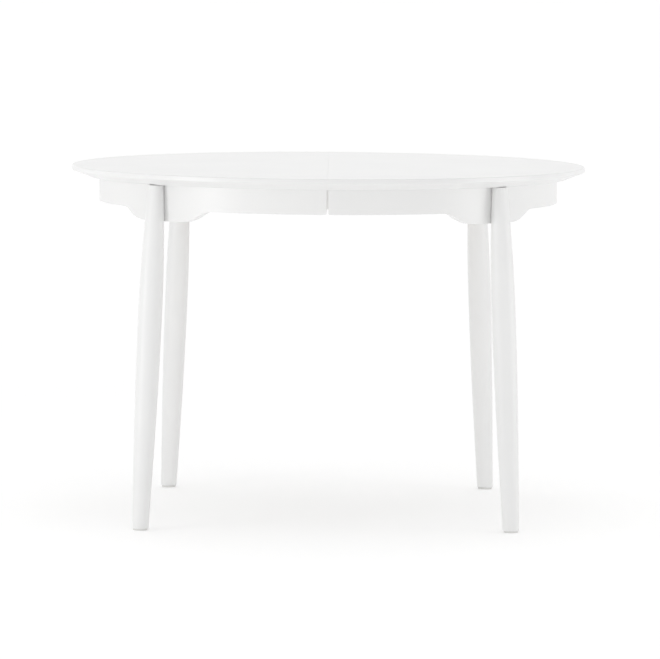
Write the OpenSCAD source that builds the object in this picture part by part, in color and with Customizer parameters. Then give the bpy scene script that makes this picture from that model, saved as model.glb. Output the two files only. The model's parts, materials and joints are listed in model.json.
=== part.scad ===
// Round extending table: a split round top on a ring apron, four splayed turned legs,
// and a pair of three-part wooden slides that let the right half draw away from the left.
// Millimetres, +Z up, origin on the floor below the middle of the closed top.
// X runs left to right across the seam, Y runs from the front (negative) to the back.

/* [Top] */
// Diameter of the closed top
top_d = 1100; // [920:1:1320]
// Height of the top face above the floor
table_h = 745; // [620:1:890]
// Thickness of the top
top_t = 24.5; // [22:0.5:29]
// Upright band of the rim, between the rounded arris and the sloping underside
rim_band = 7.5; // [5:0.5:10]
// How far the slope under the rim runs in, from the widest point to the flat underside
rim_undercut = 37; // [20:0.5:50]
// Radius of the upper arris
rim_round = 2.5; // [2:0.1:3.5]
// Gap between the two half tops when closed
top_gap = 0.1; // [0.1:0.1:2]

/* [Apron ring] */
// Overhang of the top past the apron ring
overhang = 59; // [45:1:72]
// Thickness of the apron
apron_t = 21; // [17:0.5:26]
// Height of the apron between the brackets
apron_h = 52.5; // [44:0.5:63]
// Further drop of the apron at each leg
bracket_drop = 24; // [18:1:29]
// Half width of the level foot of a bracket
bracket_flat = 54; // [45:1:65]
// Sideways run of the curve from the level foot up to the apron
bracket_run = 76; // [64:1:90]
// Gap between the apron ends at the seam
apron_gap = 3.6; // [2:0.1:5]

/* [Legs] */
// Angle of the front legs from the left-right line
front_leg_angle = 44.7; // [38:0.1:53]
// Angle of the back legs from the left-right line
back_leg_angle = 49.5; // [42:0.1:56]
// Outward lean of the legs, in degrees
leg_splay = 3.3; // [2.75:0.05:4]
// How far the leg axis stands outside the apron face, at the leg's top
leg_stand = 12; // [10:0.5:14]
// Radius of the leg at its top
leg_top_r = 15.6; // [14.5:0.1:18]
// Largest radius of the leg
leg_mid_r = 25.1; // [20.9:0.1:30]
// Radius of the leg at the floor
leg_foot_r = 17.2; // [14.4:0.1:20.6]
// Height of the leg's thickest place above the floor
leg_mid_z = 450; // [375:1:540]
// Gap between the leg's top and the level of the top's underside
leg_top_gap = 0.6; // [0.5:0.1:3]
// Height of a floor glide
glide_h = 4; // [3.3:0.1:5]
// Radius of a floor glide
glide_r = 15.5; // [13:0.1:17]

/* [Slides] */
// Width of the extension leaf that the open table takes
leaf_w = 500; // [420:5:600]
// Extra opening that lets the leaf drop in
leaf_play = 20; // [16:1:24]
// Width of one slide rail
rail_w = 22; // [20:0.5:27]
// Level of the rails' lower faces below the underside of the top
rail_h = 55.5; // [46:0.5:59]
// Side gap between neighbouring rails
rail_gap = 0.5; // [0.4:0.1:0.8]
// Gap between a rail and the half top that it runs under
rail_lift = 1.5; // [1.2:0.1:2]
// Depth of the dovetail tongue
tongue_d = 7; // [5.8:0.1:7.5]
// Gap around the tongue in its groove
tongue_gap = 0.35; // [0.3:0.01:0.5]

/* [Blocks, catches and fasteners] */
// Half width of a corner block behind a leg
block_half = 40; // [36:1:44]
// Thickness of a corner block behind the apron
block_t = 38; // [32:1:44]
// Reach of a catch hook from its pivot to the keeper post
catch_reach = 44; // [37:1:50]
// Turn of a catch lever from open to locked, in degrees
catch_turn = 90; // [80:1:100]
// Radius of a leg bolt
bolt_r = 4; // [3.4:0.1:4.5]
// Radius of a wood screw
screw_r = 2; // [1.7:0.1:2.4]
// Radius of an alignment pin in the seam
pin_r = 4; // [3.4:0.1:4.8]

/* [Hidden] */
$fn = 96;

LEFT = -1;
RIGHT = 1;
FRONT = -1;
BACK = 1;

fit = 0.05; // radial clearance of a screw, bolt or fixed pin in its hole
seat_gap = 0.1; // gap of a scribed wooden seat
running = 0.08; // radial clearance of a seam pin in its bush

top_r = top_d / 2;
under_z = table_h - top_t;
travel = leaf_w + leaf_play;

ring_r = top_r - overhang;
ring_in = ring_r - apron_t;
apron_z = under_z - apron_h;
foot_z = apron_z - bracket_drop;
bracket_slope = 2 * atan(bracket_drop / bracket_run);
bracket_radii = bracket_run / sin(bracket_slope);
shoulder_r = bracket_radii / 3;
toe_r = bracket_radii - shoulder_r;
curve_steps = 6;

leg_top_z = under_z - leg_top_gap;
leg_axis_top = ring_r + leg_stand;
leg_axis_foot = leg_axis_top + leg_top_z * tan(leg_splay);
leg_rings = 14;
leg_round = 2;
glide_axis = leg_axis_foot - glide_h * tan(leg_splay);
glide_stem_r = 4;
glide_stem_h = 18;

block_in = ring_in - block_t;
bolt_up = 20; // from the foot of the bracket up to the lower bolt
bolt_down = 22; // from the underside of the top down to the upper bolt
block_z = foot_z + 12;
bolt_zs = [foot_z + bolt_up, under_z - bolt_down];
insert_r = bolt_r + 2;
insert_len = 15;
washer_t = 1.6;
washer_r = 2 * bolt_r + 1;
bolt_head_r = bolt_r + 3;
bolt_head_h = 5;
bolt_in = block_in - washer_t - bolt_head_h;

rail_clear = 12; // gap between the outer rail and the corner blocks
rail_out = block_in * sin(front_leg_angle) - block_half * cos(front_leg_angle) - rail_clear;
rail_out_back = block_in * sin(back_leg_angle) - block_half * cos(back_leg_angle) - rail_clear;
rail_y = min(rail_out, rail_out_back);
rail_in = rail_y - 3 * rail_w;
rail_end_gap = 20;
rail_half = sqrt(pow(ring_in, 2) - pow(rail_y, 2)) - rail_end_gap;
rail_z = under_z - rail_h;
rail_top = under_z - rail_lift;
rail_mid = (rail_z + rail_top) / 2;
tongue_root = 5;
tongue_tip = 8;
stop_r = 2.5;
stop_out = 3;
stop_in = 8;
stop_x = rail_half - 12;

screw_head_r = 2 * screw_r;
screw_bite = min(12, top_t - 8);
screw_sink = 19; // thickness of wood between a screw's head and the underside of the top
rail_screw_y = 5; // from a rail's outer face to its screws
rail_screw_from = 50; // from the seam to a rail's first screw
rail_screw_end = 30; // from a rail's end to its last screw
block_screw_t = 25; // sideways from a leg's radial line to a corner block's screws
bearer_screw_end = 40; // from the inner rail to a bearer's end screws

bearer_half = 20;
bearer_h = 32;
bearer_x = 205;
bearer_end_gap = 6;
seam_block_from = 8;
seam_block_to = 78;
seam_block_h = 35;
seam_block_t = 24;
seam_block_set = 8; // how far the flat back of a seam block stands further in, clear of the round
side_block_half = 35;

catch_t = 2.5;
lever_t = 3.5;
lever_gap = 0.5;
lever_hub_r = 11;
hook_half = 7;
post_r = 3;
post_gap = 0.6;
catch_x = -26;
catch_side_gap = 16;
catch_y = rail_in - catch_reach - hook_half - catch_side_gap;
keeper_x = catch_x + catch_reach;
plate_z = under_z - catch_t;
lever_z = plate_z - lever_gap - lever_t;
rivet_r = 3;
rivet_head_r = 6;
rivet_head_h = 1.5;
rivet_gap = 0.06;
catch_screw_r = 1.6;
catch_screw_bite = 9;
catch_head_r = 2 * catch_screw_r;
catch_head_h = 1.2;
plate_screws = [[-10, -17], [-10, 17], [8, -17], [8, 17]];
keeper_screws = [[3, -15], [3, 15]];

pin_out = 11;
pin_bed = 12;
pin_z = table_h - top_t / 2;
pin_end = 95; // from the rim to the outermost seam pins
pin_ys = [pin_end - top_r, -(rail_in + 1.5 * rail_w), 0, rail_in + 1.5 * rail_w, top_r - pin_end];
bush_wall = 2;
bush_len = 14;

// Where the leg of one corner stands, as a turn about Z from +X
function leg_turn(side, face) =
    let (a = face == FRONT ? front_leg_angle : back_leg_angle)
    face * (side == RIGHT ? a : 180 - a);

// Radius of the leg at a height
function leg_r(z) = z < leg_mid_z
    ? leg_foot_r + (leg_mid_r - leg_foot_r) * sin(90 * z / leg_mid_z)
    : leg_mid_r - (leg_mid_r - leg_top_r) * pow((z - leg_mid_z) / (leg_top_z - leg_mid_z), 2.1);

// A point given by a radius and a sideways offset from a leg's radial line
function at_leg(side, face, r, t) =
    let (a = leg_turn(side, face)) [r * cos(a) - t * sin(a), r * sin(a) + t * cos(a)];

function rail_lane(n) = rail_y - (n + 1) * rail_w + rail_gap / 2;
rail_body = rail_w - rail_gap;

function rail_screw_xs() =
    let (last = rail_half - rail_screw_end) [rail_screw_from, (rail_screw_from + last) / 2, last];
function rail_screw_at(side) = side == LEFT
    ? rail_lane(0) + rail_body - rail_screw_y
    : rail_lane(2) + rail_screw_y;

// Every screw that goes up into one half top: [x, y, level of its head]
function top_screw_list(side) = concat(
    [for (f = [FRONT, BACK], x = rail_screw_xs()) [side * x, f * rail_screw_at(side), under_z - screw_sink]],
    [for (f = [FRONT, BACK], t = [-block_screw_t, block_screw_t])
        let (p = at_leg(side, f, (block_in + ring_in) / 2, t)) [p[0], p[1], under_z - 2 * screw_sink]],
    [for (y = [bearer_screw_end - rail_in, 0, rail_in - bearer_screw_end])
        [side * bearer_x, y, under_z - screw_sink]],
    [for (f = [FRONT, BACK]) [side * (seam_block_from + seam_block_to) / 2,
        f * (ring_in - (seam_block_t + seam_block_set) / 2), under_z - screw_sink]],
    [[side * (ring_in - seam_block_t / 2), 0, under_z - screw_sink]]
);

function catch_screw_list(side) = side == LEFT
    ? [for (f = [FRONT, BACK], s = plate_screws) [catch_x + s[0], f * catch_y + s[1]]]
    : [for (f = [FRONT, BACK], s = keeper_screws) [keeper_x + s[0], f * catch_y + s[1]]];

// ---------- the top ----------
module rim_outline() {
    polygon([
        [0, under_z], [top_r - rim_undercut, under_z],
        [top_r, table_h - rim_round - rim_band], [top_r, table_h - rim_round],
        [top_r - rim_round, table_h - rim_round], [top_r - rim_round, table_h], [0, table_h]
    ]);
    translate([top_r - rim_round, table_h - rim_round]) circle(r = rim_round);
}

module half_disc(side) {
    intersection() {
        rotate_extrude($fn = 180) rim_outline();
        translate([side == RIGHT ? top_gap / 2 : -top_r - 1, -top_r - 1, 0])
            cube([top_r + 1 - top_gap / 2, top_d + 2, table_h + 1]);
    }
}

module half_top(side) {
    difference() {
        half_disc(side);
        for (s = top_screw_list(side))
            translate([s[0], s[1], under_z - 1]) cylinder(r = screw_r + fit, h = screw_bite + 1.5);
        for (s = catch_screw_list(side))
            translate([s[0], s[1], under_z - 1]) cylinder(r = catch_screw_r + fit, h = catch_screw_bite + 1.5);
        for (y = pin_ys)
            if (side == LEFT)
                translate([-pin_bed - fit, y, pin_z]) rotate([0, 90, 0]) cylinder(r = pin_r + fit, h = pin_bed + 1);
            else
                translate([-1, y, pin_z]) rotate([0, 90, 0])
                    cylinder(r = pin_r + bush_wall + fit, h = bush_len + top_gap / 2 + 1 + fit);
    }
}

module top_left() color("white") half_top(LEFT);
module top_right() color("white") half_top(RIGHT);

// ---------- the apron ring ----------
// Points along the S-curve of a bracket, from its level foot up and out to the apron
function bracket_curve() = concat(
    [for (i = [0 : curve_steps]) let (a = bracket_slope * i / curve_steps)
        [bracket_flat + toe_r * sin(a), foot_z + toe_r * (1 - cos(a))]],
    [for (i = [curve_steps - 1 : -1 : 0]) let (a = bracket_slope * i / curve_steps)
        [bracket_flat + bracket_run - shoulder_r * sin(a), apron_z - shoulder_r * (1 - cos(a))]]
);

// The same points with both end stretches drawn on in line, so that they cross the level edges
function crossing_curve(c) =
    let (n = len(c) - 1)
    concat([3 * c[0] - 2 * c[1]], [for (i = [1 : n - 1]) c[i]], [3 * c[n] - 2 * c[n - 1]]);

// A whole bracket and the space below its foot, drawn flat: x is sideways from the leg, y is height
module bracket_outline() {
    side = crossing_curve(bracket_curve());
    spare = 10; // runs past the faces of the block that it is cut from
    reach = bracket_flat + 2 * bracket_run;
    polygon(concat(
        [[0, foot_z - 2 * spare]], side, [[reach, apron_z + spare], [-reach, apron_z + spare]],
        [for (i = [len(side) - 1 : -1 : 0]) [-side[i][0], side[i][1]]]
    ));
}

// Everything below the apron's lower edge, apart from the brackets of the legs at the turns listed
module below_apron(legs) {
    difference() {
        translate([-top_r, -top_r, foot_z - 10]) cube([top_d, top_d, bracket_drop + 10]);
        for (a = legs)
            rotate([0, 0, a]) translate([ring_in - 40, 0, 0])
                rotate([90, 0, 90]) linear_extrude(height = apron_t + 80) bracket_outline();
    }
}

module arc_band(r_in, r_out, z0, z1, from, turn) {
    rotate([0, 0, from]) rotate_extrude(angle = turn, $fn = 180)
        translate([r_in, z0]) square([r_out - r_in, z1 - z0]);
}

// A length of apron with the brackets of the legs at the turns listed
module apron_length(from, turn, legs) {
    difference() {
        arc_band(ring_in, ring_r, foot_z, under_z, from, turn);
        below_apron(legs);
        for (a = legs, z = bolt_zs)
            rotate([0, 0, a]) translate([ring_in - 5, 0, z]) rotate([0, 90, 0]) rotate([0, 0, 45])
                cylinder(r = bolt_r + 4 * fit, h = apron_t + 10);
        translate([-apron_gap / 2, -top_r, 0]) cube([apron_gap, top_d, table_h]);
    }
}

// The apron from the seam to a leg
module apron_end(side, face) {
    a = leg_turn(side, face);
    seam = face * 90;
    apron_length(min(a, seam), abs(seam - a), [a]);
}

// The apron between the two legs of one half
module apron_side(side) {
    front = leg_turn(side, FRONT);
    back = leg_turn(side, BACK);
    if (side == RIGHT)
        apron_length(front, back - front, [front, back]);
    else
        apron_length(back, 360 + front - back, [front, back]);
}

module apron_left_front() color("white") apron_end(LEFT, FRONT);
module apron_left_side() color("white") apron_side(LEFT);
module apron_left_back() color("white") apron_end(LEFT, BACK);
module apron_right_front() color("white") apron_end(RIGHT, FRONT);
module apron_right_side() color("white") apron_side(RIGHT);
module apron_right_back() color("white") apron_end(RIGHT, BACK);

// ---------- the legs ----------
// Half outline of a leg along its own axis, from below the floor to above its top
module leg_outline() {
    zs = concat(
        [for (i = [0 : leg_rings]) leg_mid_z * i / leg_rings],
        [for (i = [1 : leg_rings]) leg_mid_z + (leg_top_z - leg_mid_z - leg_round) * i / leg_rings]
    );
    polygon(concat(
        [[0, -10], [leg_foot_r, -10]],
        [for (z = zs) [leg_r(z), z]],
        [[leg_top_r - leg_round, leg_top_z + leg_round / 2], [0, leg_top_z + leg_round / 2]]
    ));
}

module leg_axis(side, face) {
    rotate([0, 0, leg_turn(side, face)]) translate([leg_axis_foot, 0, 0]) rotate([0, -leg_splay, 0]) children();
}

module leg(side, face) {
    difference() {
        intersection() {
            leg_axis(side, face) rotate_extrude($fn = 72) leg_outline();
            translate([-2 * top_r, -2 * top_r, glide_h]) cube([4 * top_r, 4 * top_r, leg_top_z - glide_h]);
        }
        translate([0, 0, foot_z - seat_gap]) cylinder(r = ring_r + seat_gap, h = table_h, $fn = 180);
        rotate([0, 0, leg_turn(side, face)]) {
            for (z = bolt_zs)
                translate([ring_r - 2, 0, z]) rotate([0, 90, 0])
                    cylinder(r = insert_r + fit, h = insert_len + 3);
            translate([glide_axis, 0, glide_h - 1]) cylinder(r = glide_stem_r + fit, h = glide_stem_h + 1.5);
        }
    }
}

module leg_front_left() color("white") leg(LEFT, FRONT);
module leg_back_left() color("white") leg(LEFT, BACK);
module leg_front_right() color("white") leg(RIGHT, FRONT);
module leg_back_right() color("white") leg(RIGHT, BACK);

// A nylon foot with a stem that is driven into the leg
module glide(side, face) {
    rotate([0, 0, leg_turn(side, face)]) translate([glide_axis, 0, 0]) rotate_extrude()
        polygon([[0, 0], [glide_r - 1, 0], [glide_r, 1], [glide_r, glide_h],
            [glide_stem_r, glide_h], [glide_stem_r, glide_h + glide_stem_h], [0, glide_h + glide_stem_h]]);
}

module glide_front_left() color("gainsboro") glide(LEFT, FRONT);
module glide_back_left() color("gainsboro") glide(LEFT, BACK);
module glide_front_right() color("gainsboro") glide(RIGHT, FRONT);
module glide_back_right() color("gainsboro") glide(RIGHT, BACK);

// ---------- leg fixings ----------
module sunk_hole(head_z) {
    translate([0, 0, head_z - 2 * table_h]) cylinder(r = screw_head_r + 2 * fit, h = 2 * table_h);
    translate([0, 0, head_z - 1]) cylinder(r = screw_r + fit, h = table_h);
}

module top_screw_holes(side) {
    for (s = top_screw_list(side))
        translate([s[0], s[1], 0]) sunk_hole(s[2]);
}

module corner_block(side, face) {
    difference() {
        intersection() {
            rotate([0, 0, leg_turn(side, face)])
                translate([block_in, -block_half, block_z]) cube([block_t, 2 * block_half, under_z - block_z]);
            cylinder(r = ring_in - seat_gap, h = table_h, $fn = 180);
        }
        rotate([0, 0, leg_turn(side, face)])
            for (z = bolt_zs)
                translate([block_in - 5, 0, z]) rotate([0, 90, 0]) cylinder(r = bolt_r + 4 * fit, h = block_t + 10);
        top_screw_holes(side);
    }
}

module corner_block_front_left() color("burlywood") corner_block(LEFT, FRONT);
module corner_block_back_left() color("burlywood") corner_block(LEFT, BACK);
module corner_block_front_right() color("burlywood") corner_block(RIGHT, FRONT);
module corner_block_back_right() color("burlywood") corner_block(RIGHT, BACK);

// Puts a child at each leg bolt of one half, with +Z pointing out along the bolt
module each_bolt(side) {
    for (f = [FRONT, BACK], z = bolt_zs)
        rotate([0, 0, leg_turn(side, f)]) translate([0, 0, z]) rotate([0, 90, 0]) children();
}

module leg_bolts(side) {
    each_bolt(side) {
        difference() {
            translate([0, 0, bolt_in]) cylinder(r = bolt_head_r, h = bolt_head_h);
            translate([0, 0, bolt_in - 1]) cylinder(r = bolt_r * 0.7, h = 4, $fn = 6);
        }
        translate([0, 0, bolt_in + bolt_head_h - 0.5])
            cylinder(r = bolt_r, h = ring_r + insert_len - 1 - bolt_in - bolt_head_h);
    }
}

module leg_washers(side) {
    each_bolt(side) difference() {
        translate([0, 0, block_in - washer_t]) cylinder(r = washer_r, h = washer_t);
        translate([0, 0, block_in - 5]) cylinder(r = bolt_r + 4 * fit, h = 10);
    }
}

module leg_inserts(side) {
    each_bolt(side) translate([0, 0, ring_r + seat_gap + 0.5]) difference() {
        cylinder(r = insert_r, h = insert_len);
        translate([0, 0, -1]) cylinder(r = bolt_r + fit, h = insert_len + 2);
    }
}

module leg_bolts_left() color("silver") leg_bolts(LEFT);
module leg_bolts_right() color("silver") leg_bolts(RIGHT);
module leg_washers_left() color("silver") leg_washers(LEFT);
module leg_washers_right() color("silver") leg_washers(RIGHT);
module leg_inserts_left() color("goldenrod") leg_inserts(LEFT);
module leg_inserts_right() color("goldenrod") leg_inserts(RIGHT);

// ---------- blocks and bearers under the top ----------
module apron_blocks(side) {
    difference() {
        intersection() {
            union() {
                for (f = [FRONT, BACK])
                    translate([side == RIGHT ? seam_block_from : -seam_block_to,
                        f == BACK ? ring_in - seam_block_t - seam_block_set : -ring_in - 5, under_z - seam_block_h])
                        cube([seam_block_to - seam_block_from, seam_block_t + seam_block_set + 5, seam_block_h]);
                translate([side == RIGHT ? ring_in - seam_block_t : -ring_in - 5,
                    -side_block_half, under_z - seam_block_h])
                    cube([seam_block_t + 5, 2 * side_block_half, seam_block_h]);
            }
            cylinder(r = ring_in - seat_gap, h = table_h, $fn = 180);
        }
        top_screw_holes(side);
    }
}

module bearer(side) {
    reach = rail_in - bearer_end_gap;
    difference() {
        translate([side * bearer_x - bearer_half, -reach, under_z - bearer_h])
            cube([2 * bearer_half, 2 * reach, bearer_h]);
        top_screw_holes(side);
    }
}

module apron_blocks_left() color("burlywood") apron_blocks(LEFT);
module apron_blocks_right() color("burlywood") apron_blocks(RIGHT);
module bearer_left() color("burlywood") bearer(LEFT);
module bearer_right() color("burlywood") bearer(RIGHT);

// ---------- the slides ----------
// Section of a dovetail that points to +Y from y = 0, drawn as [y, z] about its middle
module dovetail(gap) {
    polygon([[-1, -tongue_root - gap], [0, -tongue_root - gap], [tongue_d + gap, -tongue_tip - gap],
        [tongue_d + gap, tongue_tip + gap], [0, tongue_root + gap], [-1, tongue_root + gap]]);
}

module along_x(length) {
    translate([-length / 2, 0, 0]) rotate([90, 0, 90]) linear_extrude(height = length) children();
}

module rail_bar(lane) {
    translate([-rail_half, rail_lane(lane), rail_z]) cube([2 * rail_half, rail_body, rail_top - rail_z]);
}

// The packed-up stretch of a rail that is screwed to its own half top
module rail_seat(lane, side) {
    from = 6;
    translate([side == RIGHT ? from : -rail_half, rail_lane(lane), rail_top - 1])
        cube([rail_half - from, rail_body, rail_lift + 1]);
}

// The blind slot in a groove's floor that a stop pin runs in
module stop_slot(side) {
    slot_half = stop_r + 2 * tongue_gap;
    run = travel / 2;
    for (x = [stop_x, stop_x - run])
        translate([side * x, 0, rail_mid]) rotate([-90, 0, 0]) cylinder(r = slot_half, h = tongue_d + stop_out + 1);
    translate([side == RIGHT ? stop_x - run : -stop_x, 0, rail_mid - slot_half])
        cube([run, tongue_d + stop_out + 1, 2 * slot_half]);
}

// Outer rail of the left half: its groove faces the middle of the table
module slide_outer() {
    difference() {
        union() {
            rail_bar(0);
            rail_seat(0, LEFT);
        }
        translate([0, rail_lane(0) - rail_gap, rail_mid]) along_x(4 * rail_half) dovetail(tongue_gap);
        translate([0, rail_lane(0) - rail_gap, 0]) stop_slot(LEFT);
        top_screw_holes(LEFT);
    }
}

// Inner rail of the right half: its groove faces outwards
module slide_inner() {
    difference() {
        union() {
            rail_bar(2);
            rail_seat(2, RIGHT);
        }
        translate([0, rail_lane(2) + rail_body + rail_gap, rail_mid])
            mirror([0, 1, 0]) along_x(4 * rail_half) dovetail(tongue_gap);
        translate([0, rail_lane(2) + rail_body + rail_gap, 0]) mirror([0, 1, 0]) stop_slot(RIGHT);
        top_screw_holes(RIGHT);
    }
}

// Middle rail: a tongue on each side
module slide_middle() {
    difference() {
        union() {
            rail_bar(1);
            translate([0, rail_lane(1) + rail_body, rail_mid]) along_x(2 * rail_half) dovetail(0);
            translate([0, rail_lane(1), rail_mid]) mirror([0, 1, 0]) along_x(2 * rail_half) dovetail(0);
        }
        stop_pins(fit);
    }
}

module stop_pins(gap) {
    translate([-stop_x, rail_lane(1) + rail_body - stop_in, rail_mid]) rotate([-90, 0, 0])
        cylinder(r = stop_r + gap, h = stop_in + tongue_d + stop_out);
    translate([stop_x, rail_lane(1) + stop_in, rail_mid]) rotate([90, 0, 0])
        cylinder(r = stop_r + gap, h = stop_in + tongue_d + stop_out);
}

module at_front() mirror([0, 1, 0]) children();

module slide_outer_front() color("white") at_front() slide_outer();
module slide_outer_back() color("white") slide_outer();
module slide_middle_front() color("white") at_front() slide_middle();
module slide_middle_back() color("white") slide_middle();
module slide_inner_front() color("white") at_front() slide_inner();
module slide_inner_back() color("white") slide_inner();
module stop_pins_front() color("silver") at_front() stop_pins(0);
module stop_pins_back() color("silver") stop_pins(0);

// ---------- wood screws ----------
module wood_screw(head_z, r, tip_z) {
    head_h = r;
    translate([0, 0, head_z - head_h]) cylinder(r = 2 * r, h = head_h);
    translate([0, 0, head_z - 0.1]) cylinder(r = r, h = tip_z - head_z + 0.1);
}

module top_screws(side) {
    for (s = top_screw_list(side))
        translate([s[0], s[1], 0]) wood_screw(s[2], screw_r, under_z + screw_bite);
}

module top_screws_left() color("silver") top_screws(LEFT);
module top_screws_right() color("silver") top_screws(RIGHT);

// ---------- seam pins ----------
module seam_pins() color("gold") {
    for (y = pin_ys)
        translate([-pin_bed, y, pin_z]) rotate([0, 90, 0]) {
            cylinder(r = pin_r, h = pin_bed + pin_out - 2);
            translate([0, 0, pin_bed + pin_out - 2]) cylinder(r1 = pin_r, r2 = pin_r - 1.5, h = 2);
        }
}

module seam_bushes() color("ivory") {
    for (y = pin_ys)
        translate([top_gap / 2, y, pin_z]) rotate([0, 90, 0]) difference() {
            cylinder(r = pin_r + bush_wall, h = bush_len);
            translate([0, 0, -1]) cylinder(r = pin_r + running, h = bush_len + 2);
        }
}

// ---------- seam catches ----------
// Holes for the catch screws of one half, with room for their heads in the plate's face
module catch_screw_holes(side) {
    for (s = catch_screw_list(side))
        translate([s[0], s[1], plate_z - 1]) {
            cylinder(r = catch_screw_r + fit, h = catch_t + 2);
            cylinder(r = catch_head_r + fit, h = catch_head_h + fit + 1);
        }
}

module catch_plate(face) {
    difference() {
        translate([catch_x - 16, face * catch_y - 24, plate_z]) cube([30, 48, catch_t]);
        catch_screw_holes(LEFT);
        translate([catch_x, face * catch_y, plate_z - 1]) cylinder(r = rivet_r + fit, h = catch_t + 2);
    }
}

module catch_rivet(face) {
    translate([catch_x, face * catch_y, 0]) {
        translate([0, 0, lever_z - lever_gap - rivet_head_h]) cylinder(r = rivet_head_r, h = rivet_head_h);
        translate([0, 0, lever_z - lever_gap - 0.1])
            cylinder(r = rivet_r, h = under_z - lever_z + lever_gap + 0.1);
    }
}

// The lever as it stands when locked, with its hook around the keeper post at +X
module lever_locked() {
    hook_from = -9;
    hook_turn = 30;
    slot_half = post_r + post_gap;
    arm_turn = 14;
    arm_half = 5;
    tab_turn = 200;
    tab_len = 34;
    tab_half = 6;
    difference() {
        union() {
            cylinder(r = lever_hub_r, h = lever_t);
            rotate([0, 0, arm_turn]) translate([0, -arm_half, 0]) cube([catch_reach - 2, 2 * arm_half, lever_t]);
            rotate([0, 0, hook_from]) rotate_extrude(angle = hook_turn)
                translate([catch_reach - hook_half, 0]) square([2 * hook_half, lever_t]);
            rotate([0, 0, tab_turn]) translate([0, -tab_half, 0]) cube([tab_len, 2 * tab_half, lever_t]);
            rotate([0, 0, tab_turn]) translate([tab_len, 0, 0]) cylinder(r = tab_half, h = lever_t);
        }
        translate([0, 0, -1]) cylinder(r = rivet_r + rivet_gap, h = lever_t + 2);
        translate([catch_reach, 0, -1]) cylinder(r = slot_half, h = lever_t + 2);
        rotate([0, 0, hook_from - 5]) translate([0, 0, -1]) rotate_extrude(angle = -(hook_from - 5))
            translate([catch_reach - slot_half, 0]) square([2 * slot_half, lever_t + 2]);
    }
}

// The lever at rest stands open, turned away from the seam
module catch_lever(face) {
    translate([catch_x, face * catch_y, lever_z])
        if (face == BACK)
            rotate([0, 0, catch_turn]) lever_locked();
        else
            mirror([0, 1, 0]) rotate([0, 0, catch_turn]) lever_locked();
}

module catch_keeper(face) {
    difference() {
        translate([keeper_x - 8, face * catch_y - 22, plate_z]) cube([20, 44, catch_t]);
        catch_screw_holes(RIGHT);
    }
    translate([keeper_x, face * catch_y, lever_z - 2]) cylinder(r = post_r, h = plate_z - lever_z + 2.5);
}

module catch_screws(side) {
    for (s = catch_screw_list(side))
        translate([s[0], s[1], plate_z]) {
            cylinder(r = catch_screw_r, h = catch_screw_bite + catch_t);
            cylinder(r = catch_head_r, h = catch_head_h);
        }
}

module catch_plate_front() color("silver") catch_plate(FRONT);
module catch_plate_back() color("silver") catch_plate(BACK);
module catch_rivet_front() color("silver") catch_rivet(FRONT);
module catch_rivet_back() color("silver") catch_rivet(BACK);
module catch_lever_front() color("gray") catch_lever(FRONT);
module catch_lever_back() color("gray") catch_lever(BACK);
module catch_keeper_front() color("silver") catch_keeper(FRONT);
module catch_keeper_back() color("silver") catch_keeper(BACK);
module catch_screws_left() color("silver") catch_screws(LEFT);
module catch_screws_right() color("silver") catch_screws(RIGHT);

top_left();
top_right();
apron_left_front();
apron_left_side();
apron_left_back();
apron_right_front();
apron_right_side();
apron_right_back();
leg_front_left();
leg_back_left();
leg_front_right();
leg_back_right();
glide_front_left();
glide_back_left();
glide_front_right();
glide_back_right();
corner_block_front_left();
corner_block_back_left();
corner_block_front_right();
corner_block_back_right();
leg_bolts_left();
leg_bolts_right();
leg_washers_left();
leg_washers_right();
leg_inserts_left();
leg_inserts_right();
apron_blocks_left();
apron_blocks_right();
bearer_left();
bearer_right();
slide_outer_front();
slide_outer_back();
slide_middle_front();
slide_middle_back();
slide_inner_front();
slide_inner_back();
stop_pins_front();
stop_pins_back();
top_screws_left();
top_screws_right();
seam_pins();
seam_bushes();
catch_plate_front();
catch_plate_back();
catch_rivet_front();
catch_rivet_back();
catch_lever_front();
catch_lever_back();
catch_keeper_front();
catch_keeper_back();
catch_screws_left();
catch_screws_right();
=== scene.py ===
"""Visual model of a round extending table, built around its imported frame.

The lacquered pieces (half tops, apron lengths, legs) and the wooden and metal
pieces below the top are made here with eased edges and their real finishes, in
metres, in the frame's own axes: +Z up, X across the seam, -Y towards the front.
"""

import json
import logging
import math
from dataclasses import dataclass, field
from enum import Enum
from typing import Callable, Iterable, Optional, Sequence

import bmesh
import bpy
from mathutils import Matrix, Vector

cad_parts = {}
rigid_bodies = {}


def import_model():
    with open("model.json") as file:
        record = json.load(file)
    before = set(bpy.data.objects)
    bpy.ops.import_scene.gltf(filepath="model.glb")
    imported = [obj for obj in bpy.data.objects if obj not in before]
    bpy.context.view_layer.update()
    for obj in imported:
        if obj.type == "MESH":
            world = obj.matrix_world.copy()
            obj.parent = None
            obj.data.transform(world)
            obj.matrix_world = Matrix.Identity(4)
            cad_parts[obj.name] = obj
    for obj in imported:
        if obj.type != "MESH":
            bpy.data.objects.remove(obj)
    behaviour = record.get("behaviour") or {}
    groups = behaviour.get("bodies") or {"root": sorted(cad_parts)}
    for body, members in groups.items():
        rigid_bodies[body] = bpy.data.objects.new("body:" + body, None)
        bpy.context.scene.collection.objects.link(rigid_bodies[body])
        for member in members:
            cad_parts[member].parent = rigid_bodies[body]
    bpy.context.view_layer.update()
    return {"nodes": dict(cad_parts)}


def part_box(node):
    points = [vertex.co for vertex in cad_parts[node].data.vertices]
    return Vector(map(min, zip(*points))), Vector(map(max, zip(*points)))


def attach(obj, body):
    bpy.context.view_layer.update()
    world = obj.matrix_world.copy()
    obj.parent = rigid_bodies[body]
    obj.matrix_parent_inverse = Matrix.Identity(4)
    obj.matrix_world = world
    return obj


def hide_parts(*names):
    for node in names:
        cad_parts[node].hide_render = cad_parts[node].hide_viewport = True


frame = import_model()

log = logging.getLogger("table")

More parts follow.
